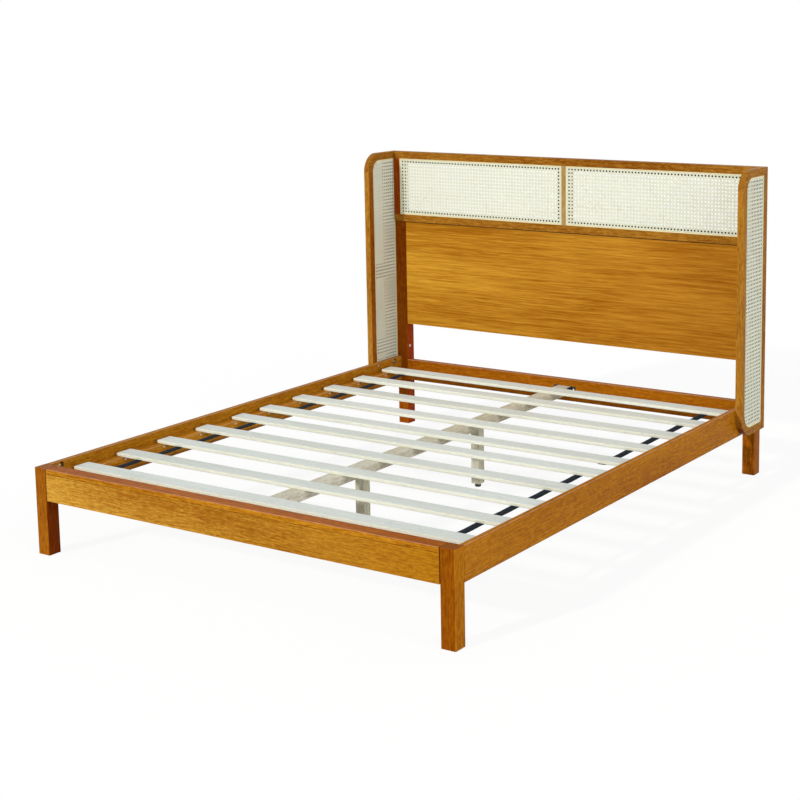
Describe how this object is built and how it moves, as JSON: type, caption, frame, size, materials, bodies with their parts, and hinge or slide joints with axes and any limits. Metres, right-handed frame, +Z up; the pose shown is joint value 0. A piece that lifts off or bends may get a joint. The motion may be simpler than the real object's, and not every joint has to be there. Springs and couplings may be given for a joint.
{
  "type": "platform bed frame",
  "caption": "Wooden platform bed frame with square legs, slatted base on a centre beam, and a cane headboard between two cane-faced wings.",
  "frame": {"origin": "on the floor, under the middle of the whole bed's footprint", "axes": "+X to the right as seen from the foot, +Y from foot to headboard, +Z up"},
  "size_m": [1.72, 2.12, 1.187],
  "materials": {
    "oak": "honey stain under satin lacquer",
    "veneer": "honey-stained veneer under satin lacquer, grain level",
    "slat_pine": "pale unfinished softwood, planed",
    "beam_pine": "unfinished softwood, planed",
    "cane": "woven natural cane, uncoated",
    "webbing": "black woven polyester strap",
    "steel": "zinc-plated",
    "black_metal": "black powder coat",
    "glide_plastic": "moulded black plastic"
  },
  "bodies": {
    "bed": {"beam_hangers": "black_metal", "centre_beam": "beam_pine", "corner_bolts": "steel", "corner_nuts": "steel", "corner_washers": "steel", "foot_board": "oak", "foot_cap": "oak", "foot_roll_webbing": "webbing", "front_support_leg": "beam_pine", "front_threaded_insert": "steel", "head_rail": "oak", "head_roll_webbing": "webbing", "headboard_bottom_rail": "oak", "headboard_lower_panel": "veneer", "headboard_mullion": "oak", "headboard_top_rail": "oak", "left_front_leg": "oak", "left_headboard_cane": "cane", "left_headboard_stile": "oak", "left_ledger": "oak", "left_rear_leg": "oak", "left_side_rail": "oak", "left_wing_bars": "oak", "left_wing_bottom_arm": "oak", "left_wing_front_stile": "oak", "left_wing_inner_cane": "cane", "left_wing_outer_cane": "cane", "left_wing_rear_stile": "oak", "left_wing_top_arm": "oak", "rear_support_leg": "beam_pine", "rear_threaded_insert": "steel", "right_front_leg": "oak", "right_headboard_cane": "cane", "right_headboard_stile": "oak", "right_ledger": "oak", "right_rear_leg": "oak", "right_side_rail": "oak", "right_wing_bars": "oak", "right_wing_bottom_arm": "oak", "right_wing_front_stile": "oak", "right_wing_inner_cane": "cane", "right_wing_outer_cane": "cane", "right_wing_rear_stile": "oak", "right_wing_top_arm": "oak", "slat_01": "slat_pine", "slat_02": "slat_pine", "slat_03": "slat_pine", "slat_04": "slat_pine", "slat_05": "slat_pine", "slat_06": "slat_pine", "slat_07": "slat_pine", "slat_08": "slat_pine", "slat_09": "slat_pine", "slat_10": "slat_pine", "wing_bolts": "steel"},
    "front_glide": {"front_levelling_glide": "glide_plastic"},
    "rear_glide": {"rear_levelling_glide": "glide_plastic"}
  },
  "joints": [
    {"name": "front_glide_screw", "type": "slide", "parent": "bed", "child": "front_glide", "axis": [0, 0, -1], "range_m": [-0.004, 0.015]},
    {"name": "rear_glide_screw", "type": "slide", "parent": "bed", "child": "rear_glide", "axis": [0, 0, -1], "range_m": [-0.004, 0.015]}
  ]
}
